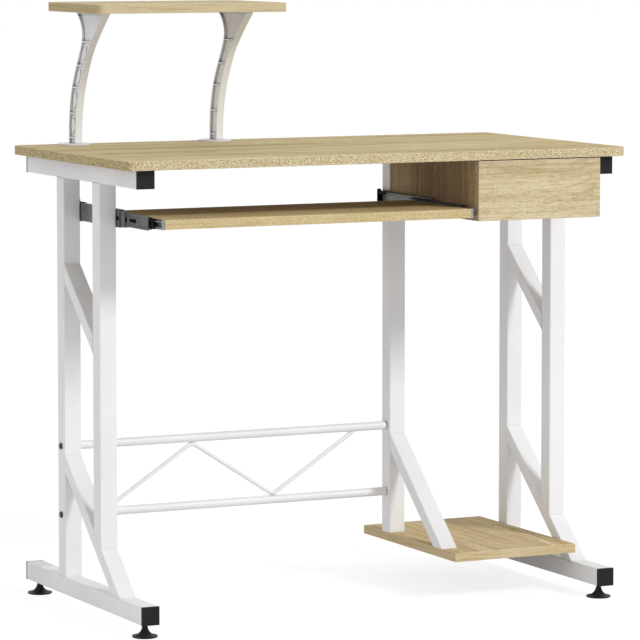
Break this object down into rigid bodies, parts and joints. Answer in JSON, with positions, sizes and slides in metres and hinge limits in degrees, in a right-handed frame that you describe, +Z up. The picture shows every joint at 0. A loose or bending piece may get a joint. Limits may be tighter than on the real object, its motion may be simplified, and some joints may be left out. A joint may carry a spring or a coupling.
{
  "type": "computer desk",
  "caption": "Computer desk with a panel top on tube frames, a sliding keyboard tray, a drawer, a tower board and a raised shelf on curved brackets.",
  "frame": {"origin": "on the floor, under the middle of the desk's width and depth", "axes": "+Z up, +X to the right of a person who sits at the desk, who is at -Y and looks along +Y"},
  "size_m": [0.904, 0.496, 1],
  "materials": {
    "wood_board": "satin printed oak-look foil",
    "drawer_board": "satin foil",
    "drawer_panel": "plain hardboard",
    "dowel_wood": "plain beech",
    "frame_paint": "white powder coat",
    "bracket_paint": "light grey satin",
    "cap_plastic": "fine texture",
    "foot_plastic": "fine texture",
    "slide_steel": "zinc plated",
    "slide_plastic": "smooth",
    "screw_steel": "zinc plated",
    "bolt_steel": "black oxide"
  },
  "bodies": {
    "desk": {"cabinet_dowels": "dowel_wood", "cabinet_left_panel": "wood_board", "cabinet_right_panel": "wood_board", "desktop": "wood_board", "foot_nuts": "screw_steel", "foot_rail_end_caps": "cap_plastic", "frame_bolts": "bolt_steel", "left_foot_rail": "frame_paint", "left_front_post": "frame_paint", "left_lower_brace": "frame_paint", "left_rear_post": "frame_paint", "left_runner_outer_member": "slide_steel", "left_shelf_bracket": "bracket_paint", "left_slide_outer_member": "slide_steel", "left_top_rail": "frame_paint", "left_upper_brace": "frame_paint", "middle_brace": "frame_paint", "middle_leg_plugs": "cap_plastic", "middle_post": "frame_paint", "middle_top_plate": "frame_paint", "right_foot_rail": "frame_paint", "right_front_post": "frame_paint", "right_lower_brace": "frame_paint", "right_rear_post": "frame_paint", "right_runner_outer_member": "slide_steel", "right_shelf_bracket": "bracket_paint", "right_slide_outer_member": "slide_steel", "right_top_rail": "frame_paint", "right_upper_brace": "frame_paint", "shelf": "wood_board", "slide_rear_stops": "slide_plastic", "top_rail_end_caps": "cap_plastic", "tower_board": "wood_board", "truss_bottom_rod": "frame_paint", "truss_top_rod": "frame_paint", "truss_zigzag_rod": "frame_paint", "wood_screws": "screw_steel"},
    "tray": {"keyboard_tray": "wood_board", "tray_screws": "screw_steel", "left_slide_inner_member": "slide_steel", "right_slide_inner_member": "slide_steel"},
    "slide_middles": {"left_slide_middle_member": "slide_steel", "right_slide_middle_member": "slide_steel"},
    "slide_outer_cages": {"slide_outer_ball_cages": "slide_steel"},
    "slide_inner_cages": {"slide_inner_ball_cages": "slide_plastic"},
    "drawer": {"drawer_back": "drawer_board", "drawer_bottom": "drawer_panel", "drawer_dowels": "dowel_wood", "drawer_front": "wood_board", "drawer_left_side": "drawer_board", "drawer_right_side": "drawer_board", "drawer_screws": "screw_steel", "left_runner_inner_member": "slide_steel", "right_runner_inner_member": "slide_steel"},
    "runner_cages": {"runner_ball_cages": "slide_steel"},
    "left_front_foot": {"left_front_levelling_foot": "foot_plastic"},
    "left_rear_foot": {"left_rear_levelling_foot": "foot_plastic"},
    "right_front_foot": {"right_front_levelling_foot": "foot_plastic"},
    "right_rear_foot": {"right_rear_levelling_foot": "foot_plastic"}
  },
  "joints": [
    {"name": "tray_slide", "type": "slide", "parent": "desk", "child": "tray", "axis": [0, -1, 0], "range_m": [-0.152, 0.013]},
    {"name": "slide_middles_travel", "type": "slide", "parent": "desk", "child": "slide_middles", "axis": [0, -1, 0], "range_m": [-0.11096, 0.00949]},
    {"name": "slide_outer_cages_travel", "type": "slide", "parent": "desk", "child": "slide_outer_cages", "axis": [0, -1, 0], "range_m": [-0.05548, 0.00475]},
    {"name": "slide_inner_cages_travel", "type": "slide", "parent": "desk", "child": "slide_inner_cages", "axis": [0, -1, 0], "range_m": [-0.13148, 0.01124]},
    {"name": "drawer_slide", "type": "slide", "parent": "desk", "child": "drawer", "axis": [0, -1, 0], "range_m": [0, 0.18]},
    {"name": "runner_cages_travel", "type": "slide", "parent": "desk", "child": "runner_cages", "axis": [0, -1, 0], "range_m": [0, 0.09]},
    {"name": "left_front_foot_turn", "type": "hinge", "parent": "desk", "child": "left_front_foot", "pos_m": [-0.4165, -0.223, 0.018], "axis": [0, 0, 1], "continuous": true},
    {"name": "left_rear_foot_turn", "type": "hinge", "parent": "desk", "child": "left_rear_foot", "pos_m": [-0.4165, 0.223, 0.018], "axis": [0, 0, 1], "continuous": true},
    {"name": "right_front_foot_turn", "type": "hinge", "parent": "desk", "child": "right_front_foot", "pos_m": [0.4165, -0.223, 0.018], "axis": [0, 0, 1], "continuous": true},
    {"name": "right_rear_foot_turn", "type": "hinge", "parent": "desk", "child": "right_rear_foot", "pos_m": [0.4165, 0.223, 0.018], "axis": [0, 0, 1], "continuous": true}
  ],
  "couplings": [
    {"joint": "slide_middles_travel", "follows": "tray_slide", "ratio": 0.73},
    {"joint": "slide_outer_cages_travel", "follows": "tray_slide", "ratio": 0.365},
    {"joint": "slide_inner_cages_travel", "follows": "tray_slide", "ratio": 0.865},
    {"joint": "runner_cages_travel", "follows": "drawer_slide", "ratio": 0.5}
  ]
}
